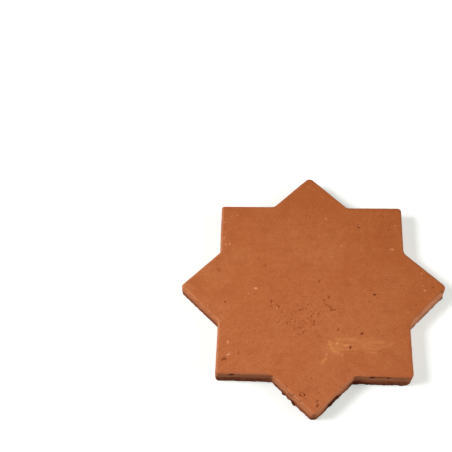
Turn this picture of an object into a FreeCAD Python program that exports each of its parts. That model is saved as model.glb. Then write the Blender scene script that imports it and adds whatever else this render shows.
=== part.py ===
# Eight-pointed terracotta floor tile, fired in one piece.
#
# The face is the star that two equal squares make when one lies over the other turned by 45
# degrees. The blank is stamped out of a clay slab, so its sixteen sides are straight, its points
# and re-entrant corners are soft, and a fired corner has drifted by up to about 2 mm. In section a
# side has a rolled arris above, then a smooth cut face that flares a little on its way down, more
# so on the sides where the cutter leaned, and below it a band where the slab tore off the cutter,
# which draws in to the foot. Knocks have chipped the upper edge, lumps have torn out of the sides,
# and gas and grit have left open pits in the wear face.
#
# Millimetres. +Z is up, out of the wear face. The origin is at the middle of the underside.
# In the names of the corners +X is east and +Y is north.
import FreeCAD
import Part

import math
import os

# Driving dimensions of the star
point_to_point = 200.0      # across opposite points, before they are rounded
thickness = 14.0            # underside to wear face

# Section of a side
arris_radius = 1.3          # rolled upper edge
cut_flare = 0.35            # lean of the cut face, from the wear face out to the torn band
torn_height = 5.0           # height of the torn band above the underside
foot_setback = 0.3          # how far the torn band draws in at the underside
foot_radius = 0.7           # worn lower edge

# Plan radius of the corners: as stamped, and what wear has added at some of them
point_radius = 2.4
notch_radius = 1.8
corner_wear = {
    "north": 2.0,
    "north_north_east": 3.2,
    "north_east": 0.8,
    "east_north_east": 4.0,
    "east": 2.0,
    "east_south_east": 1.2,
    "south_east": 0.7,
    "north_north_west": 3.6,
}
# Further softening of a point towards the foot
foot_wear = {"south": 2.6, "south_east": 3.0}

# How far drying and firing moved a corner from the true star, in X and Y
corner_drift = {
    "north": (-0.2, -0.6),
    "north_east": (1.3, 0.2),
    "east_north_east": (0.6, 1.5),
    "east": (2.2, 1.4),
    "east_south_east": (1.4, -0.3),
    "south_east": (1.2, -0.4),
    "south_west": (-0.7, 0.4),
    "west_south_west": (0.0, 0.5),
    "north_west": (0.0, 0.5),
    "north_north_west": (0.5, 0.5),
}

# Where the cutter leaned, how far the side that leaves a corner clockwise stands out at its foot
side_lean = {
    "north_east": 0.3,
    "east": 0.5,
    "south_east": 1.3,
    "south_south_east": 0.6,
    "south": 1.0,
    "south_south_west": 0.4,
    "west_south_west": 0.1,
}

# Chips along the upper edge. Each is on the side that leaves the named corner clockwise, at a
# share of that side's length, with its length along the edge and its depth from the sharp edge.
edge_chips = [
    ("east", 0.14, 2.6, 1.5),
    ("south", 0.34, 2.4, 1.4),
    ("south", 0.69, 2.8, 1.5),
    ("south", 0.78, 2.2, 1.4),
    ("west_south_west", 0.52, 3.4, 1.6),
    ("west_south_west", 0.16, 2.4, 1.5),
]
# Lumps torn out of the sides, placed the same way: length, height, depth, and height of the middle
torn_hollows = [
    ("east", 0.05, 4.4, 3.4, 1.1, 9.2),
    ("south_south_east", 0.53, 13.6, 9.6, 1.7, 7.0),
    ("south", 0.45, 4.6, 5.0, 0.9, 3.2),
    ("south", 0.86, 6.0, 5.0, 0.8, 3.0),
    ("south_east", 0.57, 13.0, 1.2, 0.8, 11.8),
    ("south_south_west", 0.72, 3.8, 1.5, 0.9, 11.6),
]
# The largest pits in the wear face: X and Y of the middle, length along X, width and depth
surface_pits = [
    (46.0, -4.7, 2.2, 1.6, 0.8),
    (35.2, -36.4, 1.8, 1.5, 0.7),
    (26.3, -47.5, 1.3, 2.2, 0.6),
    (-10.3, -84.7, 1.6, 2.0, 0.6),
    (-7.2, -84.4, 1.5, 1.5, 0.5),
    (1.1, -92.1, 1.7, 1.4, 0.5),
]

compass = [
    "north", "north_north_east", "north_east", "east_north_east",
    "east", "east_south_east", "south_east", "south_south_east",
    "south", "south_south_west", "south_west", "west_south_west",
    "west", "west_north_west", "north_west", "north_north_west",
]
corner_count = len(compass)
corner_step = 2 * math.pi / corner_count
east = FreeCAD.Vector(1, 0, 0)


def is_point(index):
    """Points and notches take turns round the star."""
    return index % 2 == 0


def fired_corners():
    """The sixteen sharp corners, clockwise from north, each moved by its drift."""
    point_reach = point_to_point / 2
    half_side = point_reach / math.sqrt(2)
    notch_reach = half_side / math.cos(corner_step)
    corners = []
    for index, name in enumerate(compass):
        reach = point_reach if is_point(index) else notch_reach
        bearing = index * corner_step
        spot = FreeCAD.Vector(reach * math.sin(bearing), reach * math.cos(bearing), 0)
        corners.append(spot + FreeCAD.Vector(*corner_drift.get(name, (0, 0)), 0))
    return corners


def side_frame(corners, index):
    """Start, direction, outward normal and length of the side that leaves a corner clockwise."""
    start = corners[index]
    run = corners[(index + 1) % corner_count] - start
    along = run / run.Length
    return start, along, FreeCAD.Vector(-along.y, along.x, 0), run.Length


def moved_corners(corners, inset, lean):
    """Sharp corners after each side moves in by inset, then out by the share lean of its own lean."""
    moved = []
    for index in range(corner_count):
        start_a, along_a, out_a, _ = side_frame(corners, index - 1)
        start_b, along_b, out_b, _ = side_frame(corners, index)
        move_a = lean * side_lean.get(compass[index - 1], 0.0) - inset
        move_b = lean * side_lean.get(compass[index], 0.0) - inset
        foot_a = start_a + out_a * move_a
        gap = start_b + out_b * move_b - foot_a
        turn = along_a.x * along_b.y - along_a.y * along_b.x
        moved.append(foot_a + along_a * ((gap.x * along_b.y - gap.y * along_b.x) / turn))
    return moved


def corner_radius(index, inset, lean):
    """Plan radius of a corner: inside the outline a point tightens and a notch opens."""
    name = compass[index]
    wear = corner_wear.get(name, 0.0) + lean * foot_wear.get(name, 0.0)
    return point_radius + wear - inset if is_point(index) else notch_radius + wear + inset


def outline(corners, inset, height):
    """Closed wire of the soft-cornered star at a height, its sides moved in by inset."""
    lean = 1.0 if height <= torn_height else 0.0
    sharp = moved_corners(corners, inset, lean)
    lift = FreeCAD.Vector(0, 0, height)
    arcs = []
    for index, corner in enumerate(sharp):
        back = (sharp[index - 1] - corner).normalize()
        ahead = (sharp[(index + 1) % corner_count] - corner).normalize()
        half_angle = back.getAngle(ahead) / 2
        radius = corner_radius(index, inset, lean)
        tangent = radius / math.tan(half_angle)
        crown = (back + ahead).normalize() * (radius / math.sin(half_angle) - radius)
        arcs.append([corner + lift + step for step in (back * tangent, crown, ahead * tangent)])
    edges = []
    for index, arc in enumerate(arcs):
        edges.append(Part.Arc(*arc).toShape())
        edges.append(Part.LineSegment(arc[2], arcs[(index + 1) % corner_count][0]).toShape())
    return Part.Wire(edges)


def centred(corners):
    """The corners, moved so that the middle of the soft-cornered outline is on the origin."""
    middle = outline(corners, 0, 0).BoundBox.Center
    return [corner - middle for corner in corners]


def edges_at(solid, height):
    """The solid's edges that lie wholly at a height."""
    def lies_flat(box):
        return max(abs(box.ZMin - height), abs(box.ZMax - height)) < 1e-6

    return [edge for edge in solid.Edges if lies_flat(edge.BoundBox)]


def blank(corners):
    """The stamped tile: foot, waist and wear face joined by straight walls, both edges eased."""
    foot = outline(corners, foot_setback, 0)
    waist = outline(corners, 0, torn_height)
    face = outline(corners, cut_flare, thickness)
    solid = Part.makeLoft([foot, waist, face], True, True)
    solid = solid.makeFillet(arris_radius, edges_at(solid, thickness))
    return solid.makeFillet(foot_radius, edges_at(solid, 0))


def egg(centre, along, length, width, height):
    """An egg-shaped cutter, length along a level direction, width level across it."""
    stretch = FreeCAD.Matrix()
    stretch.scale(FreeCAD.Vector(length / 2, width / 2, height / 2))
    shape = Part.makeSphere(1).transformGeometry(stretch)
    shape.Placement = FreeCAD.Placement(centre, FreeCAD.Rotation(east, along))
    return shape


def on_side(corners, name, share, inset, height):
    """A place on a side at a share of its length, and the side's direction."""
    start, along, out, length = side_frame(corners, compass.index(name))
    lean = side_lean.get(name, 0.0) * min(1.0, (thickness - height) / (thickness - torn_height))
    level = start + along * (length * share) + out * (lean - inset)
    return level + FreeCAD.Vector(0, 0, height), along


def chip(corners, name, share, length, depth):
    """Cutter of a chip, centred on the sharp upper edge."""
    centre, along = on_side(corners, name, share, cut_flare, thickness)
    return egg(centre, along, length, 2 * depth, 2 * depth)


def hollow(corners, name, share, length, height, depth, middle):
    """Cutter of a lump gone from a side, centred on the side's face."""
    centre, along = on_side(corners, name, share, 0, middle)
    return egg(centre, along, length, 2 * depth, height)


def pit(x, y, length, width, depth):
    """Cutter of a pit, centred on the wear face."""
    return egg(FreeCAD.Vector(x, y, thickness), east, length, width, 2 * depth)


def star_tile():
    corners = centred(fired_corners())
    cutters = [chip(corners, *knock) for knock in edge_chips]
    cutters += [hollow(corners, *tear) for tear in torn_hollows]
    cutters += [pit(*spot) for spot in surface_pits]
    return blank(corners).cut(cutters)


os.makedirs("parts", exist_ok=True)
tile = star_tile()
tile.exportStep("parts/star_tile.step")
print("star_tile", tile.isValid(), len(tile.Solids), "solid, %.1f cm3" % (tile.Volume / 1000))
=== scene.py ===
import math

import bpy
import numpy as np
from mathutils import Matrix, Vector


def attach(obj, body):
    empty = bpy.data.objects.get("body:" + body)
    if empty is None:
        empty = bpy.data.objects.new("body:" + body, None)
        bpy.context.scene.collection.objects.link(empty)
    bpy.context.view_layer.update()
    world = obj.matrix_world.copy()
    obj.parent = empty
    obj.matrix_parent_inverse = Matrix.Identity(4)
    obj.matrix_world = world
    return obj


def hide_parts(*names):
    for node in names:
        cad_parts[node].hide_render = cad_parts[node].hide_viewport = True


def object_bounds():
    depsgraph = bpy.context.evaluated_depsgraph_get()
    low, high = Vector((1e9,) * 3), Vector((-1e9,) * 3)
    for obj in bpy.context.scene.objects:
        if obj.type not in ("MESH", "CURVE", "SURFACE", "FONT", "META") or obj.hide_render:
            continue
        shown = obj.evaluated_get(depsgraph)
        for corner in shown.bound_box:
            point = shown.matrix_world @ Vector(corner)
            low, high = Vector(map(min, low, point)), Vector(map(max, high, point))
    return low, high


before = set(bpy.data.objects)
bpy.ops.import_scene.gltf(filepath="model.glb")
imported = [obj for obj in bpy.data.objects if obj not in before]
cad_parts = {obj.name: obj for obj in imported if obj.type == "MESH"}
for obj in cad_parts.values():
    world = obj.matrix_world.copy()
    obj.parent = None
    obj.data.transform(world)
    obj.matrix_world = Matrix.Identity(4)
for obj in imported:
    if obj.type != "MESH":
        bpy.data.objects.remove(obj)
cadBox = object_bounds()
mm = 0.001      # lengths below are in millimetres, and become metres when a mesh is made
turn = 2 * math.pi
hair = 1e-6     # a length under this counts as none


# Helpers

def smooth(t):
    # soft step: 0 below 0, 1 above 1, and 3t^2 - 2t^3 between
    t = np.clip(t, 0, 1)
    return t * t * (3 - 2 * t)


def unit(vectors):
    # each vector divided by its own length
    return vectors / np.linalg.norm(vectors, axis=-1, keepdims=True)


def noise(points, size, seed, octaves=1, lattice=32, offset=0.37):
    # value noise from about -1 to 1: random numbers on a lattice of the given spacing, blended with
    # soft steps along each axis, and each further octave adds half as much at half the spacing
    total = np.zeros(len(points))
    weight = 0.0
    for octave in range(octaves):
        table = np.random.default_rng(seed + 31 * octave).uniform(-1, 1, (lattice,) * points.shape[1])
        spot = points / (size / 2 ** octave) + offset * (octave + 1)
        cell = np.floor(spot).astype(int)
        share = smooth(spot - cell)
        value = np.zeros(len(points))
        for corner in np.ndindex((2,) * points.shape[1]):
            corner = np.array(corner)
            part = np.prod(np.where(corner, share, 1 - share), axis=1)
            value += part * table[tuple(((cell + corner) % lattice).T)]
        total += value * 0.5 ** octave
        weight += 0.5 ** octave
    return total / weight


# The star outline, its corners numbered clockwise from the north point

starOutline = {
    "pointToPoint": 200.0,
    "pointRadius": 2.4,         # point and notch radii are at the widest level
    "notchRadius": 1.8,
    "cornerWear": {0: 2.0, 1: 3.2, 2: 0.8, 3: 4.0, 4: 2.0, 5: 1.2, 6: 0.7, 15: 3.6},
    "footWear": {8: 2.6, 6: 3.0},
    "drift": {0: (-0.2, -0.6), 2: (1.3, 0.2), 3: (0.6, 1.5), 4: (2.2, 1.4), 5: (1.4, -0.3),
              6: (1.2, -0.4), 10: (-0.7, 0.4), 11: (0.0, 0.5), 14: (0.0, 0.5), 15: (0.5, 0.5)},
    "lean": {2: 0.3, 4: 0.5, 6: 1.3, 7: 0.6, 8: 1.0, 9: 0.4, 11: 0.1},
    "centre": (-0.824, 0.710),  # the true star's middle, from the middle of the part's box
    "ring": 118,                # rings in the face grid, an even number
    "arcSteps": 6,              # steps in half of a rounded corner
}


def perCorner(values):
    # one number for each of the sixteen corners or sides, from a dictionary of those that have one
    return np.array([values.get(i, 0.0) for i in range(16)])


def starCurve(inset, lean, shape=starOutline):
    # the rounded outline moved in by inset, and out by the share lean of each side's own lean.
    # A corner is a true arc; its halves are the blend sin((1-q)w) a + sin(qw) b over sin(w) of the
    # radii to its crown a and to its tangent point b, and a side is the straight line between arcs.
    # Gives positions, outward normals, the side each point is on, and its share of that side.
    index = np.arange(16)
    isPoint = index % 2 == 0
    bearing = index * turn / 16
    half = shape["pointToPoint"] / 2
    reach = np.where(isPoint, half, half / math.sqrt(2) / math.cos(turn / 16))
    corner = np.stack([np.sin(bearing), np.cos(bearing)], 1) * reach[:, None]
    corner += np.array([shape["drift"].get(i, (0, 0)) for i in range(16)]) + shape["centre"]
    along = unit(np.roll(corner, -1, 0) - corner)
    out = np.stack([-along[:, 1], along[:, 0]], 1)
    start = corner + out * (lean * perCorner(shape["lean"]) - inset)[:, None]
    before = np.roll(start, 1, 0)
    beforeAlong = np.roll(along, 1, 0)
    gap = start - before
    cross = beforeAlong[:, 0] * along[:, 1] - beforeAlong[:, 1] * along[:, 0]
    step = (gap[:, 0] * along[:, 1] - gap[:, 1] * along[:, 0]) / cross
    sharp = before + beforeAlong * step[:, None]
    wear = perCorner(shape["cornerWear"]) + lean * perCorner(shape["footWear"])
    radius = wear + np.where(isPoint, shape["pointRadius"] - inset, shape["notchRadius"] + inset)
    halfAngle = np.arccos(np.sum(-beforeAlong * along, 1)) / 2
    middle = unit(along - beforeAlong)
    centre = sharp + middle * (radius / np.sin(halfAngle))[:, None]
    reachOut = (radius / np.tan(halfAngle))[:, None]
    tangentAhead = sharp + along * reachOut
    tangentBack = sharp - beforeAlong * reachOut
    crown = centre - middle * radius[:, None]
    sweep = (turn / 4 - halfAngle)[:, None, None]
    q = np.linspace(0, 1, shape["arcSteps"], endpoint=False)[None, :, None]
    lineSteps = shape["ring"] // 2 - 2 * shape["arcSteps"]
    t = np.linspace(0, 1, lineSteps, endpoint=False)[None, :, None]

    def arc(a, b):
        a = (a - centre)[:, None]
        b = (b - centre)[:, None]
        return (np.sin((1 - q) * sweep) * a + np.sin(q * sweep) * b) / np.sin(sweep)

    first = arc(crown, tangentAhead)
    last = np.roll(arc(tangentBack, crown), -1, 0)
    line = tangentAhead[:, None] * (1 - t) + np.roll(tangentBack, -1, 0)[:, None] * t
    place = np.concatenate([first + centre[:, None], line, last + np.roll(centre, -1, 0)[:, None]], 1)
    bend = (np.where(isPoint, 1, -1) / radius)[:, None, None]
    straight = np.repeat(out[:, None], lineSteps, 1)
    normal = np.concatenate([bend * first, straight, np.roll(bend, -1, 0) * last], 1)
    side = np.repeat(index, shape["ring"] // 2)
    length = np.linalg.norm(np.roll(sharp, -1, 0) - sharp, axis=1)
    share = np.sum((place - sharp[:, None]) * along[:, None], 2) / length[:, None]
    return place.reshape(-1, 2), normal.reshape(-1, 2), side, share.reshape(-1)


# The tile's solid form

tileForm = {
    "thickness": 14.0,
    "arrisRadius": 1.3,
    "softArris": {4: 1.3, 5: 0.3, 9: 0.8},  # wider rolled edge on some sides
    "arrisTurning": 0.15,       # share of a side over which that comes
    "arrisRows": 7,
    "cutFlare": 0.35,
    "cutRows": 13,
    "crowdRows": 1.5,           # above 1 the rows of the cut wall crowd under the arris
    "tornHeight": 5.0,
    "tornRows": 7,
    "footSetback": 0.3,
    "footRadius": 0.7,
    "footRows": 3,
}


def squareRing(i, j):
    # how far round its ring a place on a square grid is, clockwise from the middle of the top, as a
    # share of the whole way, with the ring's number
    ring = np.maximum(np.maximum(abs(i), abs(j)), 1)
    way = np.select(
        [(j == ring) & (i >= 0), i == ring, j == -ring, i == -ring],
        [i, 2 * ring - j, 4 * ring - i, 6 * ring + j], 8 * ring + i)
    return way / (8 * ring), np.maximum(abs(i), abs(j))


def faceGrid(curve, rings):
    # a square grid laid over the star: ring k becomes the outline scaled by k / rings, and a place
    # on a ring goes to the same share of the way round the outline
    j, i = np.meshgrid(np.arange(-rings, rings + 1), np.arange(-rings, rings + 1))
    share, ring = squareRing(i.ravel(), j.ravel())
    closed = np.vstack([curve, curve[:1]])
    way = np.linspace(0, 1, len(closed))
    place = np.stack([np.interp(share, way, closed[:, axis]) for axis in (0, 1)], 1)
    middle = curve.mean(0)
    place = middle + (place - middle) * (ring / rings)[:, None]
    number = np.arange(len(place)).reshape(2 * rings + 1, -1)
    corners = [number[:-1, :-1], number[1:, :-1], number[1:, 1:], number[:-1, 1:]]
    quads = np.stack(corners, -1).reshape(-1, 4)
    rim = np.where(ring == rings)[0]
    rim = rim[np.argsort(share[rim], kind="stable")]
    return place, quads, rim


def atHeight(flat, height):
    return np.column_stack([flat, np.full(len(flat), float(height))])


def eased(edge, wayIn, wayOn, radius, rows):
    # rows of an arc of the given radius that touches both ways out of an edge: its ends are where
    # the circle touches them, and the points between are the same sine blend as at a corner
    wayIn = unit(wayIn)
    wayOn = unit(wayOn)
    half = np.arccos(np.sum(wayIn * wayOn, 1)) / 2
    reach = (radius / np.tan(half))[:, None]
    centre = edge + unit(wayIn + wayOn) * (radius / np.sin(half))[:, None]
    a = edge + wayIn * reach - centre
    b = edge + wayOn * reach - centre
    sweep = (turn / 2 - 2 * half)[:, None]
    steps = np.linspace(0, 1, rows + 1)
    return [centre + (np.sin((1 - q) * sweep) * a + np.sin(q * sweep) * b) / np.sin(sweep) for q in steps]


def rowsBetween(a, b, rows, crowd=1.0):
    # rows of points on the straight lines from a to b, without the first, at shares (k / rows)^crowd
    return [a + (b - a) * q for q in np.linspace(0, 1, rows + 1)[1:] ** crowd]


def sideRows(form=tileForm):
    # the section carried round the outline. The wall is the straight line from the face's outline to
    # the waist's and on to the foot's, and both edges are arcs that touch their two neighbours.
    face, normal, side, share = starCurve(form["cutFlare"], 0.0)
    waist, waistNormal, _, _ = starCurve(0.0, 1.0)
    foot, _, _, _ = starCurve(form["footSetback"], 1.0)
    normal = unit(normal + waistNormal)
    inward = atHeight(-normal, 0)
    face = atHeight(face, form["thickness"])
    waist = atHeight(waist, form["tornHeight"])
    foot = atHeight(foot, 0)
    softer = perCorner(form["softArris"])[side] * smooth(np.minimum(share, 1 - share) / form["arrisTurning"])
    arris = eased(face, inward, waist - face, form["arrisRadius"] + softer, form["arrisRows"])
    toe = eased(foot, waist - foot, inward, form["footRadius"], form["footRows"])
    cut = rowsBetween(arris[-1], waist, form["cutRows"], form["crowdRows"])
    torn = rowsBetween(waist, toe[0], form["tornRows"])
    return np.array(arris + cut + torn + toe[1:]), normal, side, share


def gather(place, marks, reach=2.6, pull=0.62):
    # draws the grid in towards each mark, so that the mark has more points: a distance r becomes
    # r (1 - pull (1 - (r / reach)^2)^2) inside the reach
    place = place.copy()
    for x, y, *_ in marks:
        away = place - (x, y)
        distance = np.linalg.norm(away, axis=1)
        near = distance < reach
        place[near] -= away[near] * (pull * (1 - (distance[near] / reach) ** 2) ** 2)[:, None]
    return place


def stripQuads(upper, lower):
    # quads between two closed rings of the same length
    return np.stack([upper, np.roll(upper, -1), np.roll(lower, -1), lower], 1)


def buildTile(form=tileForm):
    # the closed skin: the grid on the wear face, the rows of the side, and a coarser grid beneath.
    # Every second column of the last row meets a point of the coarse grid in a strip of triangles.
    rings = starOutline["ring"]
    rows, normal, side, share = sideRows(form)
    top, topQuads, rim = faceGrid(rows[0][:, :2], rings)
    inner = np.ones(len(top), bool)
    inner[rim] = False
    top[inner] = gather(top, facePits + paleChips)[inner]
    bed, bedQuads, bedRim = faceGrid(rows[-1][::2, :2], rings // 2)
    wall = rows[1:-1].reshape(-1, 3)
    columns = rows.shape[1]
    wallRings = [len(top) + columns * r + np.arange(columns) for r in range(len(rows) - 2)]
    rowPoints = [rim] + wallRings
    base = len(top) + len(wall)
    fine = rowPoints[-1]
    coarse = base + bedRim
    even = fine[::2]
    odd = fine[1::2]
    nextEven = np.roll(even, -1)
    nextCoarse = np.roll(coarse, -1)
    quads = [topQuads, base + bedQuads[:, ::-1]]
    quads += [stripQuads(a, b) for a, b in zip(rowPoints[:-1], rowPoints[1:])]
    triangles = [(even, odd, coarse), (odd, nextCoarse, coarse), (odd, nextEven, nextCoarse)]
    triangles = np.concatenate([np.stack(three, 1) for three in triangles])
    points = np.concatenate([atHeight(top, form["thickness"]), wall, atHeight(bed, 0)])
    # what each point knows of the section: its side, its share of it, and the outward normal
    sideOf = np.full(len(points), -1)
    shareOf = np.zeros(len(points))
    normalOf = np.zeros((len(points), 3))
    for row in rowPoints:
        sideOf[row] = side
        shareOf[row] = share
        normalOf[row, :2] = normal
    return points, np.concatenate(quads), triangles, sideOf, shareOf, normalOf


# Relief of the clay: what pressing, cutting, firing and handling left on the plain form

relief = {
    # depth or height of each pattern, and its size
    "faceSag": (0.10, 46.0),    # slow hollows of the wear face
    "dragWaves": (0.035, 26.0),  # faint waves along the smoothing stroke
    "dragSqueeze": (1.0, 5.0),  # how much narrower these are in x and in y
    "cutWaver": (0.16, 17.0),
    "waverSqueeze": (1.0, 1.0, 0.2),
    "cutLines": (0.09, 1.8),    # upright lines that the cutter drew
    "lineSqueeze": (1.0, 1.0, 0.08),
    "arrisWear": (0.09, 2.6),
    "wallFrom": 2.5,            # depth at which the wall has its full relief
    "tornLine": (1.3, 7.0),     # rise and fall of the torn band's upper limit
    "tornFade": 0.9,            # height over which the tearing begins
    "tornRoughness": 0.42,
    "tornSizes": (3.6, 1.5),    # its lumps, and its crumbs, which are half as high
    "bedGrit": (0.12, 5.0),
    # how ragged the rim of each mark is, as a share of its own size, the size of the ragging, its
    # seed and its octaves. A hollow's is for each millimetre of its height, and a stroke of slip's
    # for each of its width, up to the most of them.
    "rims": {"chip": (0.35, 0.9, 51, 1), "hollow": (0.10, 2.2, 61, 3), "stain": (0.80, 2.6, 63, 3),
             "lump": (0.30, 1.6, 65, 2), "pit": (0.30, 0.7, 71, 1), "pale": (0.30, 1.1, 75, 2),
             "slip": (0.10, 4.0, 77, 2), "pricked": (0.50, 9.0, 79, 2)},
    "mostTall": 7.0,
    "mostWide": 6.0,
    "slipSqueeze": (1, 3),
    # a chip: its height and reach for each millimetre of depth, and its way in and down
    "chipShape": (3, 1.5),
    "chipMiddle": 0.5,          # below the wear face
    "chipWay": (0.6, 0.48),
    "eggReach": 6.0,            # how far in and out of the wall an egg acts
    "shelving": 9.0,            # height at which a hollow's rim is softer by one power
    "chipScarAndShade": 0.8,            # how strong the dark mark of a chip is, partly painted shade
    "crumbling": (0.55, 1.3, 1.7),  # share of the dark marks of chips and hollows that shows, its swing, and size of its crumbs
    # height that the very foot counts as, where tearing and lumps grow to their full at 1 mm
    "tearAtFoot": 0.6,
    "lumpAtFoot": 0.4,
    "troughShade": (0.7, 2.2, 0.1),  # strength, steepness and depth of painted shade in torn troughs
    # how steeply each mark rises from its rim, and the depth of a mark at its full strength
    "steep": {"chip": 2.5, "hollow": 2.0, "paintedShade": 1.6, "stain": 1.5, "pit": 2.2, "pale": 1.4,
              "slip": 1.0, "pricked": 1.0},
    "full": {"scarAndShade": 0.8, "paintedShade": 1.8, "pit": 0.65},
}
# tones of the clay, which its material turns into colours; pale ones are partly painted highlight, dark ones
# painted shade
tones = {
    # per side: how much paler its arris is with wear and a painted highlight, or darker below 0 with painted
    # shade
    "arrisTone": {0: -0.3, 1: -0.4, 2: -0.8, 3: -1.0, 4: 0.6, 5: -0.45, 6: -0.3, 7: 0.9, 8: 0.7,
                  9: -0.3, 10: 1.0, 11: 0.5, 12: 0.4, 13: 0.9, 15: 0.2},
    # per side: how much lower than the face's edge the pale line runs
    "crestDrop": {4: 1.2, 7: 0.6, 8: 0.6},
    # per side: how much paler its wall is, or darker below 0, which is painted shade on the south-facing
    # walls
    "wallTone": {4: 0.55, 6: -0.38, 7: 0.10, 8: 0.05, 9: -0.48},
    # per side: how much higher than darkHeight the wall starts to darken towards the foot, torn clay with
    # painted shade
    "darkFrom": {2: 1.5, 4: 0.9, 6: 3.4, 7: 3.2, 8: 2.0, 9: 3.2, 10: 2.0, 11: 3.0, 12: 2.0, 13: 2.0},
    "darkHeight": 7.0,
    "darkWaver": (0.9, 9.0),    # how much that line rises and falls, and over what length
    "darkFade": 4.2,            # height over which the wall darkens
    "paleLine": (0.1, 0.16),    # depth and width of a pale arris, wear with a painted highlight
    "darkLine": (0.5, 0.75),    # depth and width of a dark one, painted shade
    "skinFrom": (0.35, 0.5),    # depth at which the wall's tone begins, and its fade
    # what comes and goes in patches: its level, how far noise moves it, and the patches' size
    "arrisPatches": (0.85, 0.9, 5.0),
    "skinPatches": (0.9, 0.8, 5.0),
    "footDirtAndShade": (0.6, 1.4),     # strength and height of the darker foot, grime with painted contact shade
    # painted shade where the light falls off: how much darker the colour is at the middle, per millimetre
    # towards east and towards north, and per square millimetre away from the middle
    "firing": (0.15, 0.0039, 0.0022, 0.00004),
    "northShadeSpan": 140.0,         # from the south to the north, over which a painted shade towards the north grows
}
# knocks on the upper edge: side, share of its length, length, depth
edgeChips = [
    (4, 0.14, 2.6, 1.1), (8, 0.34, 1.6, 0.6), (8, 0.69, 2.0, 0.7), (8, 0.78, 1.6, 0.6),
    (8, 0.51, 1.6, 0.6), (11, 0.52, 3.4, 0.9), (11, 0.16, 2.4, 0.8), (2, 0.12, 1.8, 0.5),
    (13, 0.70, 1.8, 0.5), (10, 0.40, 2.0, 0.6), (7, 0.30, 2.0, 0.5), (9, 0.40, 1.6, 0.4),
    (3, 0.55, 1.6, 0.5), (4, 0.72, 1.8, 0.8),
]
# lumps gone from a side: side, share, length, height, depth, height of the middle
tornHollows = [
    (4, 0.045, 3.8, 1.9, 0.8, 9.6), (4, 0.09, 3.4, 1.2, 0.5, 10.6), (7, 0.58, 15.0, 9.4, 2.0, 5.9),
    (7, 0.36, 6.0, 4.5, 0.6, 3.4),
    (8, 0.45, 4.6, 5.0, 0.9, 3.2), (8, 0.86, 6.0, 5.0, 0.8, 3.0), (8, 0.53, 7.0, 1.8, 0.9, 9.8),
    (6, 0.69, 4.6, 2.8, 1.8, 12.1), (6, 0.42, 3.6, 2.8, 1.8, 12.0), (6, 0.55, 12.0, 1.9, 1.3, 12.4),
    (9, 0.72, 4.8, 2.6, 1.7, 11.8), (6, 0.92, 5.0, 1.4, 1.3, 12.7), (6, 0.20, 5.0, 3.0, 0.4, 1.2),
    (9, 0.74, 7.0, 2.2, 0.5, 5.0), (9, 0.84, 5.0, 2.0, 0.5, 6.6), (9, 0.63, 6.0, 2.0, 0.5, 7.0),
    (6, 0.82, 6.0, 3.0, 0.5, 1.0), (9, 0.22, 5.0, 2.6, 0.4, 4.4), (9, 0.55, 7.0, 2.4, 0.5, 5.0),
    (8, 0.60, 2.0, 3.0, 0.5, 2.6), (8, 0.30, 3.0, 3.4, 0.5, 2.4), (4, 0.62, 9.0, 2.2, 0.25, 6.0),
    (6, 0.93, 8.0, 8.0, 0.5, 4.5), (6, 0.55, 46.0, 4.0, 0.3, 3.0), (9, 0.30, 20.0, 3.0, 0.3, 4.6),
    (7, 0.06, 7.0, 7.0, 0.4, 5.0),
]
# painted shade on the sides, in hollows and slots and low on the walls: side, share, length, height, height
# of the middle, strength
paintedShadeSpots = [
    (7, 0.59, 15.0, 15.0, 3.4, 1.0), (7, 0.40, 9.0, 5.0, 2.0, 0.5), (6, 0.94, 7.0, 9.0, 4.0, 0.5),
    (7, 0.04, 5.0, 9.0, 4.0, 0.5), (9, 0.97, 4.0, 8.0, 4.0, 0.5), (7, 0.50, 70.0, 5.0, 0.0, 0.7),
    (8, 0.50, 60.0, 4.4, 0.0, 0.8), (8, 0.68, 4.8, 7.0, 0.8, 0.9), (8, 0.42, 7.0, 7.0, 0.8, 0.9),
    (4, 0.08, 9.0, 9.0, 3.2, 0.95), (4, 0.25, 44.0, 6.4, 0.0, 0.75), (6, 0.50, 60.0, 5.0, 1.0, 0.3),
    (6, 0.69, 4.4, 2.6, 12.2, 0.8), (6, 0.42, 3.4, 2.6, 12.1, 0.8), (6, 0.55, 10.0, 1.4, 12.4, 0.5),
    (6, 0.92, 5.0, 1.4, 12.7, 0.6), (7, 0.85, 26.0, 3.4, 0.0, 0.5),
]
# clay left standing on a side, or worn off it below 0: side, share, length, height, how far out,
# height of the middle
footLumps = [
    (8, 0.68, 3.2, 4.0, 1.0, 1.6), (8, 0.56, 3.0, 3.4, 0.7, 1.5), (8, 0.42, 4.6, 4.2, 1.2, 1.8),
    (8, 0.25, 3.4, 3.0, 0.3, 1.5), (4, 0.14, 5.0, 4.0, 0.5, 3.0), (7, 0.16, 5.0, 3.6, 0.4, 2.6),
    (7, 0.60, 4.0, 3.6, 0.45, 1.4), (8, 0.55, 60.0, 12.0, 0.3, 1.6), (4, 0.00, 7.0, 12.6, -1.3, 6.2),
]
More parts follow.
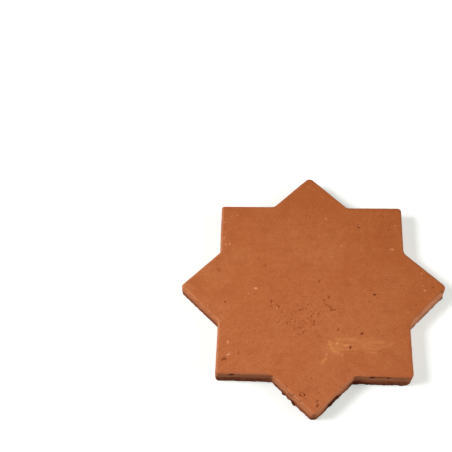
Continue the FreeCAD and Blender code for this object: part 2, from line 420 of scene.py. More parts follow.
# pits in the wear face: x, y, length, width, turn in degrees, depth
facePits = [
    (46.1, -4.7, 2.2, 1.6, 10, 0.9), (35.2, -36.4, 1.9, 1.5, -20, 0.8), (26.4, -47.5, 2.3, 1.3, 80, 0.7),
    (-10.6, -84.2, 2.2, 1.2, -60, 0.6), (-7.6, -84.0, 2.0, 1.2, 70, 0.5), (1.2, -88.8, 1.5, 1.2, 0, 0.5),
    (1.2, -92.0, 1.7, 1.4, 0, 0.5), (-66.2, -12.2, 1.5, 1.3, 0, 0.5), (-26.0, -15.4, 1.5, 1.2, 0, 0.5),
    (36.7, 53.4, 2.3, 1.2, 0, 0.5), (-27.4, -13.9, 1.4, 0.9, 0, 0.4), (12.6, -15.8, 2.4, 1.0, -20, 0.4),
    (-9.7, -17.9, 1.3, 1.5, 0, 0.4), (-8.2, -17.9, 1.5, 0.9, 0, 0.3), (4.9, 5.8, 2.2, 1.2, 90, 0.4),
    (-31.2, -11.3, 2.3, 1.1, 90, 0.4), (-31.5, -15.0, 2.2, 0.9, 0, 0.3), (15.9, -17.4, 1.3, 1.5, 0, 0.4),
    (11.5, -6.9, 1.2, 1.1, 0, 0.3), (11.8, -14.4, 1.4, 0.9, 0, 0.3), (-1.5, -23.4, 1.5, 1.1, 90, 0.3),
    (0.6, -27.6, 1.5, 1.1, 0, 0.3), (0.4, -29.3, 1.3, 0.9, 0, 0.3), (-9.9, -32.5, 1.6, 1.1, 90, 0.3),
    (-6.4, -34.7, 3.0, 0.9, 4, 0.3), (-7.8, -36.1, 2.4, 0.9, 88, 0.3), (-11.0, -37.9, 2.1, 0.9, 0, 0.3),
    (17.9, -33.4, 2.1, 1.3, 90, 0.4), (41.3, -10.7, 1.3, 1.1, 90, 0.3), (-72.5, 15.5, 1.4, 1.3, 0, 0.4),
    (-71.3, 14.0, 1.7, 1.1, 90, 0.4), (-36.3, 18.8, 1.6, 1.1, 0, 0.3), (-55.3, -53.1, 2.1, 1.2, 90, 0.3),
    (-65.0, -57.8, 2.6, 1.1, -40, 0.5), (-66.7, -58.3, 2.2, 1.0, 60, 0.5), (-70.5, -50.7, 1.4, 1.2, 0, 0.3),
    (36.8, 55.5, 1.3, 0.9, 0, 0.3), (55.0, 64.5, 1.4, 1.1, 90, 0.3), (56.2, 63.7, 1.3, 0.9, 0, 0.3),
    (59.7, 51.3, 2.1, 0.9, 90, 0.3), (-1.5, 61.8, 1.2, 1.1, 0, 0.3), (55.2, 8.1, 1.2, 1.1, 0, 0.3),
    (-15.9, -83.3, 2.1, 1.0, 90, 0.3), (-9.4, -82.4, 2.2, 0.9, -10, 0.3), (-7.0, -86.8, 1.4, 0.9, 60, 0.3),
    (90.0, 1.8, 2.8, 0.9, -50, 0.35), (-10.5, -89.0, 1.4, 1.1, 0, 0.3), (-20.4, -78.0, 1.3, 1.1, 0, 0.3),
    (76.3, -13.1, 1.2, 1.0, 0, 0.25), (-8.9, -85.4, 1.8, 0.9, -20, 0.4),
    (11.8, -7.6, 1.2, 1.8, 0, 0.4), (7.9, -9.9, 1.4, 1.6, 0, 0.3), (9.8, -13.8, 1.0, 3.0, 20, 0.3),
    (13.0, -17.6, 1.2, 2.2, -30, 0.4), (4.6, -21.8, 1.0, 3.2, 30, 0.2), (-5.3, -7.8, 1.2, 1.2, 0, 0.2),
    (-17.6, -28.3, 1.3, 1.1, 0, 0.2), (-17.4, -40.0, 2.0, 1.0, 0, 0.2), (3.4, -38.9, 1.3, 1.0, 0, 0.2),
    (35.0, -50.9, 1.4, 1.0, 0, 0.2), (47.0, -50.7, 1.4, 1.0, 0, 0.2), (50.2, -37.6, 2.0, 1.0, 0, 0.2),
    (-23.0, -76.5, 1.2, 1.1, 0, 0.3), (-79.0, 20.5, 1.3, 1.1, 0, 0.3), (-23.5, -19.3, 1.4, 1.0, 0, 0.2),
    (-12.6, -14.5, 1.3, 1.0, 0, 0.2), (-13.6, -26.9, 1.2, 1.0, 0, 0.2), (-8.3, -26.8, 1.1, 1.0, 0, 0.2),
    (-6.4, -27.4, 2.0, 1.0, -60, 0.2), (-22.3, -35.5, 1.3, 1.0, 0, 0.2), (-27.2, -29.0, 2.0, 0.9, 90, 0.2),
    (44.0, -1.0, 2.0, 0.9, 0, 0.2), (43.3, 3.9, 1.3, 1.0, 0, 0.2), (66.4, 2.9, 1.6, 1.1, 0, 0.25),
    (-41.7, 24.8, 1.3, 1.0, 0, 0.2), (-65.0, -20.0, 1.3, 1.1, 0, 0.2), (-61.8, -16.5, 1.3, 1.0, 0, 0.2),
    (-55.3, -33.3, 1.4, 1.0, 0, 0.2), (-44.0, -59.0, 1.3, 1.0, 0, 0.2), (-45.3, -44.5, 1.3, 1.0, 0, 0.2),
    (-36.0, -44.5, 1.2, 1.0, 0, 0.2), (-4.5, 63.4, 2.1, 0.9, 0, 0.2), (45.2, 34.0, 1.3, 1.0, 0, 0.2),
    (2.4, -82.2, 1.2, 1.0, 0, 0.2), (-2.7, -72.0, 1.2, 1.0, 0, 0.2), (15.0, -76.0, 1.3, 1.0, 0, 0.2),
    (17.4, -77.3, 1.2, 1.0, 0, 0.2), (24.5, -65.0, 1.2, 1.0, 0, 0.2), (12.0, -63.0, 1.2, 1.0, 0, 0.2),
]
# pale grit and bruises in the wear face: x, y, length, width, turn in degrees, strength
paleChips = [
    (-43.3, -0.7, 2.8, 1.9, 0, 0.9), (-27.3, -16.9, 1.6, 1.2, 0, 0.5), (-48.8, -5.0, 1.8, 1.3, 0, 0.3),
    (-64.0, 37.5, 1.6, 1.3, 0, 0.6), (-67.3, 37.0, 1.7, 1.0, 0, 0.6), (-68.5, 42.5, 2.6, 1.1, 90, 0.5),
    (-68.5, 56.5, 1.5, 1.1, 0, 0.4), (-58.7, 63.0, 1.4, 1.1, 0, 0.4), (-59.5, 53.0, 1.6, 1.1, 0, 0.3),
    (-63.3, -44.5, 2.3, 1.1, 90, 0.8), (-63.0, -54.5, 3.6, 1.2, 15, 0.8), (61.5, 34.0, 1.7, 1.2, 0, 0.8),
    (60.0, 34.3, 1.3, 1.0, 0, 0.5), (64.8, 55.0, 1.7, 1.1, 0, 0.5), (82.5, 13.6, 1.5, 1.1, 0, 0.5),
    (84.4, 15.8, 1.4, 1.1, 0, 0.4), (37.3, 54.8, 1.5, 1.0, 0, 0.4), (11.5, 60.5, 1.6, 1.1, 0, 0.4),
    (22.5, 36.5, 3.0, 1.5, 90, 0.3), (24.5, -45.4, 1.6, 1.2, 0, 0.4), (16.5, -44.5, 1.5, 1.1, 0, 0.4),
    (8.5, -53.4, 2.0, 1.4, 0, 0.4), (20.1, -53.6, 1.8, 1.3, 0, 0.4), (83.7, -0.8, 1.6, 1.2, 0, 0.7),
    (82.9, 3.0, 1.6, 1.0, 0, 0.3),
]
# strokes of thin slip that dried ochre: x, y, length, width, turn in degrees, strength
slipStrokes = [
    (13.4, -49.2, 9.0, 2.4, -55, 1.0), (11.5, -45.6, 8.0, 2.2, -64, 0.8), (16.6, -44.7, 7.0, 2.1, 59, 0.8),
    (22.7, -45.9, 5.6, 2.1, -4, 0.8), (27.9, -40.9, 10.0, 2.1, 6, 0.6), (7.0, -57.9, 9.0, 3.4, 47, 0.6),
    (41.2, -46.1, 5.0, 1.6, -40, 0.5), (50.2, -43.2, 5.0, 1.7, -13, 0.6), (47.6, -43.3, 5.4, 1.5, 33, 0.5),
    (42.4, -51.2, 10.0, 1.8, -2, 0.4), (20.0, -30.8, 9.0, 1.6, -18, 0.3), (17.7, -52.9, 7.0, 1.6, -21, 0.4),
    (20.3, -49.0, 9.0, 2.0, -5, 0.6), (11.3, -43.3, 5.0, 2.0, -80, 0.6), (36.3, -45.7, 9.0, 2.0, -28, 0.5),
    (18.0, -41.5, 8.0, 2.0, -8, 0.5), (55.0, -44.5, 8.0, 1.8, 4, 0.4), (34.0, -45.0, 58.0, 15.0, -4, 0.28),
    (14.0, -47.5, 17.0, 15.0, 0, 0.32),
]
# patches where the skin is pricked all over with fine pores: x, y, length, width, turn, strength
prickedPatches = [
    (-5.0, -24.0, 62.0, 40.0, 20, 1.0), (44.0, 0.0, 14.0, 20.0, 0, 0.8), (-12.0, -84.0, 16.0, 12.0, 0, 0.8),
    (60.0, 56.0, 20.0, 18.0, 0, 0.6), (-66.0, -52.0, 14.0, 22.0, 0, 0.7), (4.0, 55.0, 34.0, 26.0, 0, 0.6),
    (-62.0, -14.0, 18.0, 16.0, 0, 0.6), (-70.0, 18.0, 14.0, 14.0, 0, 0.6), (85.0, 6.0, 12.0, 14.0, 0, 0.6),
]


def onSide(side, share, height, form=tileForm):
    # a place on the wall at a height, and the wall's direction and outward normal there
    face, _, sides, shares = starCurve(form["cutFlare"], 0.0)
    waist, normal, _, _ = starCurve(0.0, 1.0)
    onIt = np.where(sides == side)[0]
    nearest = onIt[np.argmin(abs(shares[onIt] - share))]
    drop = min(1.0, (form["thickness"] - height) / (form["thickness"] - form["tornHeight"]))
    flat = face[nearest] + (waist[nearest] - face[nearest]) * drop
    out = normal[nearest]
    return np.array([*flat, height]), np.array([out[1], -out[0], 0.0]), np.array([*out, 0.0])


def ovalOnFace(points, x, y, length, width, angle):
    # 1 at the middle of a turned oval and 0 at its rim: 1 - (u / half length)^2 - (v / half width)^2
    a = math.radians(angle)
    away = points[:, :2] - (x, y)
    u = (away[:, 0] * math.cos(a) + away[:, 1] * math.sin(a)) / (length / 2)
    v = (-away[:, 0] * math.sin(a) + away[:, 1] * math.cos(a)) / (width / 2)
    return 1 - u ** 2 - v ** 2


def eggOnSide(points, side, share, length, tall, middle, thick=relief["eggReach"]):
    # 1 at the middle of an egg on the wall and 0 at its skin, with the outward normal there
    centre, along, out = onSide(side, share, middle)
    away = points - centre
    u = away @ along / (length / 2)
    v = away[:, 2] / (tall / 2)
    w = away @ out / thick
    return 1 - u ** 2 - v ** 2 - w ** 2, out


def dome(inside):
    # depth of a scoop whose section is a half circle
    return np.sqrt(np.clip(inside, 0, None))


def upward(value):
    # noise from -1 to 1, moved to lie from 0 to 1
    return value * 0.5 + 0.5


def rimNoise(points, name):
    # what makes the rim of a mark ragged: its share times noise
    share, size, seed, octaves = relief["rims"][name]
    return share * noise(points, size, seed, octaves)


def patchy(points, way, seed, octaves, most=1.0):
    # what comes and goes in patches: a level plus a swing times noise, from 0 to the most
    level, swing, size = way
    return np.clip(level + swing * noise(points, size, seed, octaves), 0, most)


def alongSides(values, sideOf, shareOf, turning=0.1):
    # each side's own number, turning softly into its neighbour's near both of its corners
    own = perCorner(values)
    before = (own + np.roll(own, 1)) / 2
    after = (own + np.roll(own, -1)) / 2
    nearStart = 1 - smooth(shareOf / turning)
    nearEnd = 1 - smooth((1 - shareOf) / turning)
    value = own[sideOf] + nearStart * (before - own)[sideOf] + nearEnd * (after - own)[sideOf]
    return np.where(sideOf >= 0, value, 0.0)


def faceHollows(points, depth, form=tileForm, ways=relief):
    # how far the wear face sinks: slow hollows and waves along the smoothing stroke, each between
    # nothing and its own depth, and less over the arris
    sag, sagSize = ways["faceSag"]
    wave, waveSize = ways["dragWaves"]
    slow = upward(noise(points[:, :2], sagSize, seed=5, octaves=2))
    drag = upward(noise(points[:, :2] * ways["dragSqueeze"], waveSize, seed=9, octaves=2))
    return smooth(1 - depth / form["arrisRadius"]) * (sag * slow + wave * drag)


def tornBand(points, onWall, form=tileForm, ways=relief):
    # where the wall is torn, below a line that rises and falls, and the tearing: lumps, and crumbs
    # half as high
    rise, riseSize = ways["tornLine"]
    lumpSize, crumbSize = ways["tornSizes"]
    line = form["tornHeight"] + rise * noise(points * (1, 1, 0), riseSize, seed=27, octaves=3)
    torn = smooth((line - points[:, 2]) / ways["tornFade"]) * onWall
    tear = noise(points, lumpSize, seed=33, octaves=3)
    tear = tear + 0.5 * noise(points, crumbSize, seed=35, octaves=2)
    return torn, tear


def wallSwell(points, wall, torn, tear, ways=relief):
    # how far the side stands out of its plain form: slow waver and upright lines where it is cut,
    # tearing in the torn band, less of it at the very foot, and fine wear at the arris
    waver, waverSize = ways["cutWaver"]
    line, lineSize = ways["cutLines"]
    wear, wearSize = ways["arrisWear"]
    swell = waver * noise(points * ways["waverSqueeze"], waverSize, seed=21, octaves=2)
    swell += line * noise(points * ways["lineSqueeze"], lineSize, seed=23, octaves=2)
    swell *= wall * (1 - torn)
    swell += torn * ways["tornRoughness"] * tear * smooth(points[:, 2] + ways["tearAtFoot"])
    swell += wear * noise(points, wearSize, seed=41, octaves=2) * (1 - wall)
    return swell


def sideTones(points, onWall, sideOf, shareOf, form=tileForm, looks=tones):
    # how pale or dark the sides are. Both kinds of arris are a line exp(-(d / width)^2), d from the
    # depth where it runs, and come and go in patches: the pale one is wear with a painted highlight, and
    # the dark one is painted shade. The wall below has a tone of its own, painted shade on the south-facing
    # walls, and darkens from a wavering line down to the foot, torn clay with painted shade.
    height = points[:, 2]
    depth = form["thickness"] - height
    arris = alongSides(looks["arrisTone"], sideOf, shareOf)
    drop = alongSides(looks["crestDrop"], sideOf, shareOf)
    paleDepth, paleWidth = looks["paleLine"]
    darkDepth, darkWidth = looks["darkLine"]
    paleLine = np.exp(-((depth - paleDepth - drop) / (paleWidth + 0.5 * drop)) ** 2)
    darkLine = np.exp(-((depth - darkDepth) / darkWidth) ** 2)
    tone = np.where(arris > 0, paleLine, darkLine) * arris
    tone *= patchy(points, looks["arrisPatches"], seed=47, octaves=3)
    skinDepth, skinFade = looks["skinFrom"]
    skin = smooth((depth - skinDepth) / skinFade)
    skin = skin * patchy(points, looks["skinPatches"], seed=48, octaves=3, most=1.3)
    tone += skin * alongSides(looks["wallTone"], sideOf, shareOf)
    waver, waverSize = looks["darkWaver"]
    line = looks["darkHeight"] + alongSides(looks["darkFrom"], sideOf, shareOf)
    line += waver * noise(points * (1, 1, 0), waverSize, seed=49, octaves=2)
    return tone, smooth((line - height) / looks["darkFade"]) * onWall


def knocks(points, onWall, form=tileForm, ways=relief):
    # chips, torn hollows, spots of painted shade and lumps of the sides, each an egg on the wall. Gives how
    # far they move each point, the strength of the dark marks with their painted shade, and of the painted
    # shade.
    height = points[:, 2]
    move = np.zeros_like(points)
    scarAndShade = np.zeros(len(points))
    paintedShade = np.zeros(len(points))
    steep = ways["steep"]
    full = ways["full"]
    crumbled = patchy(points, ways["crumbling"], seed=67, octaves=2)
    rim = rimNoise(points, "chip")
    tallShare, thickShare = ways["chipShape"]
    inward, downward = ways["chipWay"]
    middle = form["thickness"] - ways["chipMiddle"]
    for side, share, length, chip in edgeChips:
        inside, out = eggOnSide(points, side, share, length, chip * tallShare, middle, chip * thickShare)
        inside += rim
        move += (np.array([0, 0, -downward]) - out * inward) * (dome(inside) * chip)[:, None]
        scarAndShade = np.maximum(scarAndShade, smooth(inside * steep["chip"]) * crumbled * ways["chipScarAndShade"])
    rim = rimNoise(points, "hollow")
    for side, share, length, tall, hollow, middle in tornHollows:
        inside, out = eggOnSide(points, side, share, length, tall, middle)
        inside += min(tall, ways["mostTall"]) * rim
        # a tall hollow shelves in, and a low slot has a sharp lip
        softRim = 1 + tall / ways["shelving"]
        move -= out * (dome(inside) ** softRim * hollow * onWall)[:, None]
        strength = smooth(inside * steep["hollow"]) * crumbled * min(1.0, hollow / full["scarAndShade"])
        scarAndShade = np.maximum(scarAndShade, strength * onWall)
        strength = smooth(inside * steep["paintedShade"]) * min(1.0, hollow / full["paintedShade"])
        paintedShade = np.maximum(paintedShade, strength * onWall)
    rim = rimNoise(points, "stain")
    for side, share, length, tall, middle, strength in paintedShadeSpots:
        inside, out = eggOnSide(points, side, share, length, tall, middle)
        paintedShade = np.maximum(paintedShade, smooth((inside + rim) * steep["stain"]) * onWall * strength)
    rim = rimNoise(points, "lump")
    for side, share, length, tall, lump, middle in footLumps:
        inside, out = eggOnSide(points, side, share, length, tall, middle)
        move += out * (dome(inside + rim) * lump * onWall * smooth(height + ways["lumpAtFoot"]))[:, None]
    return move, scarAndShade, paintedShade


def faceMarks(points, onTop, ways=relief):
    # pits, pale grit, slip and pricked patches of the wear face, each a turned oval. Gives how deep
    # the pits are, and how strong each kind of mark is: its last number over that of a full one.
    sink = np.zeros(len(points))
    marks = {}
    kinds = {"pit": facePits, "pale": paleChips, "slip": slipStrokes, "pricked": prickedPatches}
    for name, places in kinds.items():
        squeeze = ways["slipSqueeze"] if name == "slip" else (1, 1)
        rim = rimNoise(points[:, :2] * squeeze, name)
        marks[name] = np.zeros(len(points))
        for x, y, length, width, angle, amount in places:
            wide = min(width, ways["mostWide"]) if name == "slip" else 1
            inside = ovalOnFace(points, x, y, length, width, angle) + wide * rim
            strength = min(1.0, amount / ways["full"].get(name, 1.0)) * onTop
            marks[name] = np.maximum(marks[name], smooth(inside * ways["steep"][name]) * strength)
            if name == "pit":
                sink += dome(inside) * amount * onTop
    return sink, marks


def fallingLightShade(points, looks=tones):
    # painted shade where the light falls off: its level at the middle, its slopes towards east and north,
    # and more with the square of the distance; and how far north, for a second painted shade towards the
    # north
    level, eastward, northward, outward = looks["firing"]
    radius2 = points[:, 0] ** 2 + points[:, 1] ** 2
    deep = level + eastward * points[:, 0] + northward * points[:, 1] + outward * radius2
    return {"deep": np.clip(deep, 0, 1), "northShade": np.clip(0.5 + points[:, 1] / looks["northShadeSpan"], 0, 1)}


def reliefTile(points, sideOf, shareOf, normalOf, form=tileForm, ways=relief, looks=tones):
    # all the relief, each part added to the plain form and kept inside the CAD box, with the marks
    # that the clay's colour uses
    height = points[:, 2]
    depth = form["thickness"] - height
    onWall = sideOf >= 0
    onTop = depth < hair
    onBed = height < hair
    wall = smooth(depth / ways["wallFrom"]) * onWall
    torn, tear = tornBand(points, onWall)
    tone, shade = sideTones(points, onWall, sideOf, shareOf)
    move, scarAndShade, paintedShade = knocks(points, onWall)
    sink, marks = faceMarks(points, onTop)
    grit, gritSize = ways["bedGrit"]
    moved = points + normalOf * wallSwell(points, wall, torn, tear)[:, None] + move
    moved[:, 2] -= faceHollows(points, depth) + sink
    moved[:, 2] += onBed * grit * upward(noise(points[:, :2], gritSize, seed=81, octaves=3))
    footStrength, footHeight = looks["footDirtAndShade"]
    troughShadeStrength, steepness, trough = ways["troughShade"]
    scarAndShade = np.maximum(scarAndShade, troughShadeStrength * torn * smooth(-steepness * tear - trough))
    scarAndShade = np.maximum(scarAndShade, footStrength * smooth(footHeight - height) * onWall)
    marks.update(fallingLightShade(points))
    marks.update({"wall": wall, "torn": torn, "shade": shade, "scarAndShade": scarAndShade, "paintedShade": paintedShade,
                  "paleWearAndHighlight": np.clip(tone, 0, 1), "shadedEdgesAndWalls": np.clip(-tone, 0, 1), "bed": onBed * 1.0})
    return np.clip(moved, np.array(cadBox[0]) / mm, np.array(cadBox[1]) / mm), marks


def placed(name, data):
    # a new object in the scene
    thing = bpy.data.objects.new(name, data)
    bpy.context.scene.collection.objects.link(thing)
    return thing


def meshPiece(name, points, quads, triangles, marks):
    # the piece's mesh in metres, smooth-shaded, with each mark as a number on its points
    mesh = bpy.data.meshes.new(name)
    mesh.from_pydata((points * mm).tolist(), [], quads.tolist() + triangles.tolist())
    mesh.update()
    mesh.polygons.foreach_set("use_smooth", np.ones(len(mesh.polygons), bool))
    for key, values in marks.items():
        layer = mesh.attributes.new(key, "FLOAT", "POINT")
        layer.data.foreach_set("value", values.astype(np.float32))
    return placed(name, mesh)


# Fired clay

firedClay = {
    "body": (0.543, 0.152, 0.0505),
    "ochre": (0.590, 0.190, 0.069),
    "red": (0.469, 0.120, 0.037),
    "falloffShadeTint": (0.750, 0.645, 0.500),   # painted shade where the light falls off, over them all
    "northShadeTint": (0.955, 0.930, 0.820),  # and painted shade towards the north
    "cut": (0.505, 0.190, 0.090),        # skin of the cut wall
    # wear of the arris and paler walls, with a painted highlight on arrises that face the light
    "wornAndHighlit": (0.670, 0.300, 0.160),
    # painted shade on dark arrises and on the south-facing walls
    "paintedSideShade": (0.250, 0.118, 0.073),
    # torn clay, and the painted shade that darkens the walls towards the foot
    "torn": (0.225, 0.062, 0.024),
    # grime and painted shade in pits, chips, hollows, torn troughs and along the foot, and streaks low on
    # the walls
    "dirtAndShade": (0.130, 0.010, 0.000),
    "pore": (0.250, 0.008, 0.000),
    "paintedShade": (0.040, 0.009, 0.004),      # painted shade in the torn hollows, slots and low on the walls
    "chalk": (0.900, 0.420, 0.210),      # bruises and lime grit
    "grit": (0.690, 0.320, 0.142),
    "slip": (0.760, 0.305, 0.095),
    "bed": (0.500, 0.180, 0.080),
    "redCrumbs": (0.40, 0.75),           # range over which the torn clay's crumbs turn red
    "roughness": (0.3, 0.7, 0.80, 0.95),  # range of the grain, and the roughness at both ends
    "specular": 0.05,
    "bumpStrength": 0.55,
    "bumpHeight": 0.22,                  # in millimetres
    # how much each pattern has in it
    "bumpShares": {"ripple": 0.7, "grain": 0.5, "pores": -0.8, "tornCrumbs": 2.5},
}
# patterns in the clay: how many to the metre, detail, roughness, and how much that count is stretched
# in x, y and z, for those that follow the smoothing stroke or lie in level layers
clayPatterns = {
    "clouds": (28.0, 4.0, 0.55, None),
    "blotch": (85.0, 4.0, 0.6, None),
    "streak": (120.0, 4.0, 0.6, (0.35, 1.6, 1.0)),
    "fibre": (420.0, 3.0, 0.6, (0.35, 1.6, 1.0)),
    "mottle": (330.0, 2.0, 0.6, None),
    "grain": (800.0, 3.0, 0.7, None),
    "crumbs": (650.0, 4.0, 0.65, None),
    "ripple": (260.0, 4.0, 0.6, None),
    "layers": (260.0, 4.0, 0.65, (1.0, 1.0, 2.6)),
}
# specks in the clay: how many to the metre, radius as a share of a cell, share of cells left bare
claySpecks = {
    "sand": (470.0, 0.30, 0.80),
    "grit": (420.0, 0.24, 0.990),
    "pores": (520.0, 0.22, 0.975),
    "pricks": (560.0, 0.34, 0.74),
}
# marks that a pattern breaks up: the mark, the pattern, its range, and the mark's share at both ends
brokenMarks = {
    "slippery": ("slip", "fibre", 0.38, 0.56, 0.35, 1.0),
    # the painted shade towards the foot, broken into streaks
    "streakedShade": ("shade", "layers", 0.50, 0.66, 0.0, 1.0),
    "cleaner": ("wall", "layers", 0.46, 0.34, 0.0, 1.0),
    "crumbledShade": ("paintedShade", "crumbs", 0.36, 0.60, 0.45, 0.95),
}
# coats of colour from the body up: the colour, the pattern, specks or mark that brings it, its
# strength at most, and for a pattern the range over which it comes
clayCoats = [
    ("ochre", "clouds", 1.0, 0.42, 0.72),
    ("red", "blotch", 0.6, 0.48, 0.72),
    ("ochre", "streak", 0.6, 0.48, 0.78),
    ("falloffShadeTint", "deep", 1.0),
    ("northShadeTint", "northShade", 1.0),
    ("bed", "bed", 0.7),
    ("cut", "wall", 0.75),
    ("red", "grain", 0.85, 0.50, 0.72),
    ("red", "mottle", 0.4, 0.50, 0.75),
    ("ochre", "mottle", 0.3, 0.48, 0.28),
    ("grit", "grain", 0.25, 0.47, 0.30),
    ("grit", "sand", 0.4),
    ("grit", "grit", 0.4),
    ("pore", "pores", 0.7),
    ("slip", "slippery", 1.0),
    ("wornAndHighlit", "paleWearAndHighlight", 0.75),
    ("paintedSideShade", "shadedEdgesAndWalls", 0.60),
    ("torn", "shade", 0.80),
    ("dirtAndShade", "streakedShade", 0.7),
    ("cut", "cleaner", 0.4),
    ("tornClay", "torn", 0.75),
    ("dirtAndShade", "scarAndShade", 0.90),
    ("paintedShade", "crumbledShade", 1.0),
    ("chalk", "pale", 1.0),
    ("dirtAndShade", "pit", 1.0),
]


def emptyTree(owner):
    # the node tree of a material or of the world, with nothing in it
    owner.use_nodes = True
    owner.node_tree.nodes.clear()
    return owner.node_tree


def addNode(tree, kind, **settings):
    node = tree.nodes.new("ShaderNode" + kind)
    for key, value in settings.items():
        setattr(node, key, value)
    return node


def feed(socket, thing):
    # a socket takes a link from another socket, or a fixed number or colour
    if isinstance(thing, bpy.types.NodeSocket):
        socket.id_data.links.new(thing, socket)
    elif isinstance(thing, tuple):
        socket.default_value = (*thing, 1.0)
    else:
        socket.default_value = thing


def joined(tree, kind, *things, **settings):
    # a new node's first output, after each thing is fed to the input that stands in its place
    node = addNode(tree, kind, **settings)
    for socket, thing in zip(node.inputs, things):
        feed(socket, thing)
    return node.outputs[0]


def calculate(tree, operation, a, b):
    return joined(tree, "Math", a, b, operation=operation)


def product(tree, a, b):
    return calculate(tree, "MULTIPLY", a, b)


def cloudNoise(tree, vector, scale, detail, roughness):
    node = addNode(tree, "TexNoise")
    feed(node.inputs["Vector"], vector)
    feed(node.inputs["Scale"], scale)
    feed(node.inputs["Detail"], detail)
    feed(node.inputs["Roughness"], roughness)
    return node.outputs["Fac"]


def spread(tree, source, low, high, bottom=0.0, top=1.0):
    # low to high becomes bottom to top, and nothing beyond them
    node = addNode(tree, "MapRange", clamp=True)
    feed(node.inputs["Value"], source)
    for socket, number in zip(("From Min", "From Max", "To Min", "To Max"), (low, high, bottom, top)):
        feed(node.inputs[socket], number)
    return node.outputs["Result"]


def blendColours(tree, share, a, b, way="MIX"):
    node = addNode(tree, "Mix", data_type="RGBA", blend_type=way)
    feed(node.inputs[0], share)
    feed(node.inputs[6], a)
    feed(node.inputs[7], b)
    return node.outputs[2]


def specks(tree, vector, scale, size, rarity):
    # soft dots at the middles of some Voronoi cells: those whose random number is over the rarity
    cells = addNode(tree, "TexVoronoi")
    feed(cells.inputs["Vector"], vector)
    feed(cells.inputs["Scale"], scale)
    near = spread(tree, cells.outputs["Distance"], size * 0.5, size, 1.0, 0.0)
    split = addNode(tree, "SeparateColor")
    feed(split.inputs[0], cells.outputs["Color"])
    return product(tree, near, calculate(tree, "GREATER_THAN", split.outputs[0], rarity))


def stretched(tree, vector, scale):
    # a pattern's coordinates, stretched by a scale if it has one
    if scale is None:
        return vector
    node = addNode(tree, "Mapping")
    node.inputs["Scale"].default_value = scale
    feed(node.inputs["Vector"], vector)
    return node.outputs["Vector"]


def clayDrivers(tree, marks):
    # every mark, pattern and kind of speck by its name; sand and most pores lie in pricked patches
    spot = addNode(tree, "TexCoord").outputs["Object"]
    drivers = {name: addNode(tree, "Attribute", attribute_name=name).outputs["Fac"] for name in marks}
    for name, (*settings, scale) in clayPatterns.items():
        drivers[name] = cloudNoise(tree, stretched(tree, spot, scale), *settings)
    for name, settings in claySpecks.items():
        drivers[name] = specks(tree, spot, *settings)
    drivers["sand"] = product(tree, drivers["sand"], drivers["pricked"])
    pricks = product(tree, drivers["pricks"], drivers["pricked"])
    drivers["pores"] = calculate(tree, "MAXIMUM", drivers["pores"], pricks)
    drivers["tornCrumbs"] = product(tree, drivers["crumbs"], drivers["torn"])
    for name, (mark, pattern, *span) in brokenMarks.items():
        drivers[name] = product(tree, drivers[mark], spread(tree, drivers[pattern], *span))
    return drivers


def clayColour(tree, drivers, look=firedClay):
    # the body's colour under all its coats; a tint, here painted shade, multiplies the colour that lies
    # under it
    redder = spread(tree, drivers["crumbs"], *look["redCrumbs"])
    paints = {**look, "tornClay": blendColours(tree, redder, look["torn"], look["red"])}
    colour = look["body"]
    for paint, driver, strength, *span in clayCoats:
        if span:
            share = spread(tree, drivers[driver], *span, 0.0, strength)
        else:
            share = product(tree, drivers[driver], strength)
        way = "MULTIPLY" if paint.endswith("Tint") else "MIX"
        colour = blendColours(tree, share, colour, paints[paint], way)
    return colour


def clayBump(tree, drivers, look=firedClay):
    # the normal of a bump whose height is the sum of its patterns, each times its share
    height = 0.0
    for name, share in look["bumpShares"].items():
        height = calculate(tree, "ADD", height, product(tree, drivers[name], share))
    bump = addNode(tree, "Bump")
    feed(bump.inputs["Strength"], look["bumpStrength"])
    feed(bump.inputs["Distance"], look["bumpHeight"] * mm)
    feed(bump.inputs["Height"], height)
    return bump.outputs["Normal"]


def clayMaterial(marks, look=firedClay):
    material = bpy.data.materials.new("firedClay")
    tree = emptyTree(material)
    drivers = clayDrivers(tree, marks)
    shader = addNode(tree, "BsdfPrincipled")
    feed(shader.inputs["Base Color"], clayColour(tree, drivers))
    feed(shader.inputs["Roughness"], spread(tree, drivers["grain"], *look["roughness"]))
    feed(shader.inputs["Specular IOR Level"], look["specular"])
    feed(shader.inputs["Normal"], clayBump(tree, drivers))
    feed(addNode(tree, "OutputMaterial").inputs["Surface"], shader.outputs[0])
    return material


points, quads, triangles, sideOf, shareOf, normalOf = buildTile()
print("plain tile:", len(points), "points,", 2 * len(quads) + len(triangles), "triangles")
points, marks = reliefTile(points, sideOf, shareOf, normalOf)
print("relief added")
starTile = meshPiece("starTileClay", points, quads, triangles, marks)
starTile.data.materials.append(clayMaterial(marks))
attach(starTile, "root")
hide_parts("star_tile")
print("clay tile placed")


# Floor, light and camera

studio = {
    "floorSize": 6.0,
    "floorBounce": 0.50,        # what the floor gives back to the tile
    "floorSeen": 0.90,          # its lit share as the camera sees it
    "floorGlow": 0.37,          # its plain share as the camera sees it
    "whiteFrom": (0.30, 0.90),  # distances from the middle over which it turns plain white
    "shadowTint": (0.925, 1.0, 0.93),
    "sky": 0.09,
    # each lamp: place, width, and the share of plain light that it gives a level surface
    "lamps": {
        "keyLamp": ((-2.15, -0.12, 2.00), 0.85, 0.33),
        "westWindow": ((-1.15, -0.10, 0.66), 1.00, 0.29),
        "eastWindow": ((1.15, -0.10, 0.55), 0.90, 0.31),
    },
}
# found by matching the sixteen corners of the upper outline
photoView = {
    "place": (-39.115, -301.167, 634.352),
    "back": (0.03957, -0.49570, 0.86759),       # from the tile towards the camera
    "tip": 3.386,                               # of the frame, in degrees
    "imageWidth": 452,
    "focalPixels": 907.49,
    "sensorWidth": 36.0,
    "clip": (0.01, 20.0),
}


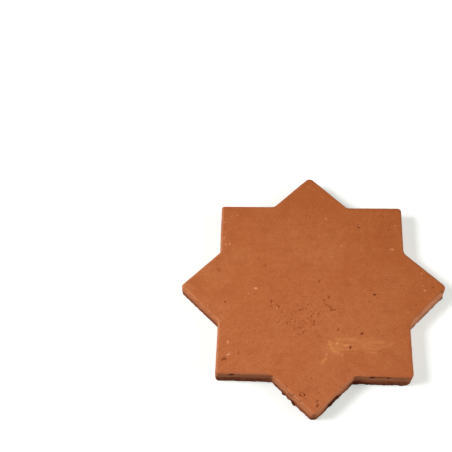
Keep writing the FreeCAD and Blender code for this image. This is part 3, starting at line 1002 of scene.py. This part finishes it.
def buildFloor(settings=studio):
    # a level square; the camera and mirrored rays see its lit part and its plain part together
    half = settings["floorSize"] / 2
    mesh = bpy.data.meshes.new("studioFloor")
    corners = [(-half, -half, 0), (half, -half, 0), (half, half, 0), (-half, half, 0)]
    mesh.from_pydata(corners, [], [(0, 1, 2, 3)])
    floor = placed("studioFloor", mesh)
    material = bpy.data.materials.new("paleFloor")
    tree = emptyTree(material)
    path = addNode(tree, "LightPath")
    direct = calculate(tree, "MAXIMUM", path.outputs["Is Glossy Ray"], path.outputs["Is Transmission Ray"])
    direct = calculate(tree, "MAXIMUM", path.outputs["Is Camera Ray"], direct)
    bounce = joined(tree, "BsdfDiffuse", (settings["floorBounce"],) * 3)
    lit = joined(tree, "BsdfDiffuse", (settings["floorSeen"],) * 3)
    plain = joined(tree, "Emission", settings["shadowTint"], settings["floorGlow"])
    distance = addNode(tree, "VectorMath", operation="LENGTH")
    feed(distance.inputs[0], addNode(tree, "TexCoord").outputs["Object"])
    far = spread(tree, distance.outputs["Value"], *settings["whiteFrom"])
    seen = joined(tree, "MixShader", far, joined(tree, "AddShader", lit, plain), joined(tree, "Emission"))
    choice = joined(tree, "MixShader", direct, bounce, seen)
    feed(addNode(tree, "OutputMaterial").inputs["Surface"], choice)
    mesh.materials.append(material)


def facing(back, place):
    # the matrix of something at a place that looks away from back, with its side level: its columns
    # are the ways to the side, up and back, and the place
    back = unit(np.array(back))
    side = unit(np.cross((0, 0, 1.0), back))
    columns = np.column_stack([side, np.cross(back, side), back, place])
    return Matrix(columns.tolist() + [[0, 0, 0, 1]])


def buildLight(settings=studio):
    # a plain sky, white where the camera looks past the floor, and lamps that face the tile. A lamp's
    # power for its share of plain light is share times pi squared, distance squared over the sine
    # of its height.
    world = bpy.data.worlds.new("softSky")
    bpy.context.scene.world = world
    tree = emptyTree(world)
    seen = addNode(tree, "LightPath").outputs["Is Camera Ray"]
    sky, white = [joined(tree, "Background", (1.0, 1.0, 1.0), level) for level in (settings["sky"], 1.0)]
    feed(addNode(tree, "OutputWorld").inputs["Surface"], joined(tree, "MixShader", seen, sky, white))
    for name, (place, width, level) in settings["lamps"].items():
        distance = np.linalg.norm(place)
        lamp = bpy.data.lights.new(name, "AREA")
        lamp.shape = "SQUARE"
        lamp.size = width
        lamp.energy = level * math.pi ** 2 * distance ** 3 / place[2]
        placed(name, lamp).matrix_world = facing(place, place)


def buildCamera(view=photoView):
    # looks along the view, with the frame turned in its own plane by the tip
    camera = bpy.data.cameras.new("photoView")
    camera.sensor_width = view["sensorWidth"]
    camera.lens = camera.sensor_width * view["focalPixels"] / view["imageWidth"]
    camera.clip_start, camera.clip_end = view["clip"]
    holder = placed("photoView", camera)
    tip = Matrix.Rotation(math.radians(-view["tip"]), 4, "Z")
    holder.matrix_world = facing(view["back"], np.array(view["place"]) * mm) @ tip
    bpy.context.scene.camera = holder


buildFloor()
buildLight()
buildCamera()
bpy.context.scene.view_settings.view_transform = "Standard"
print("floor, light and camera set")
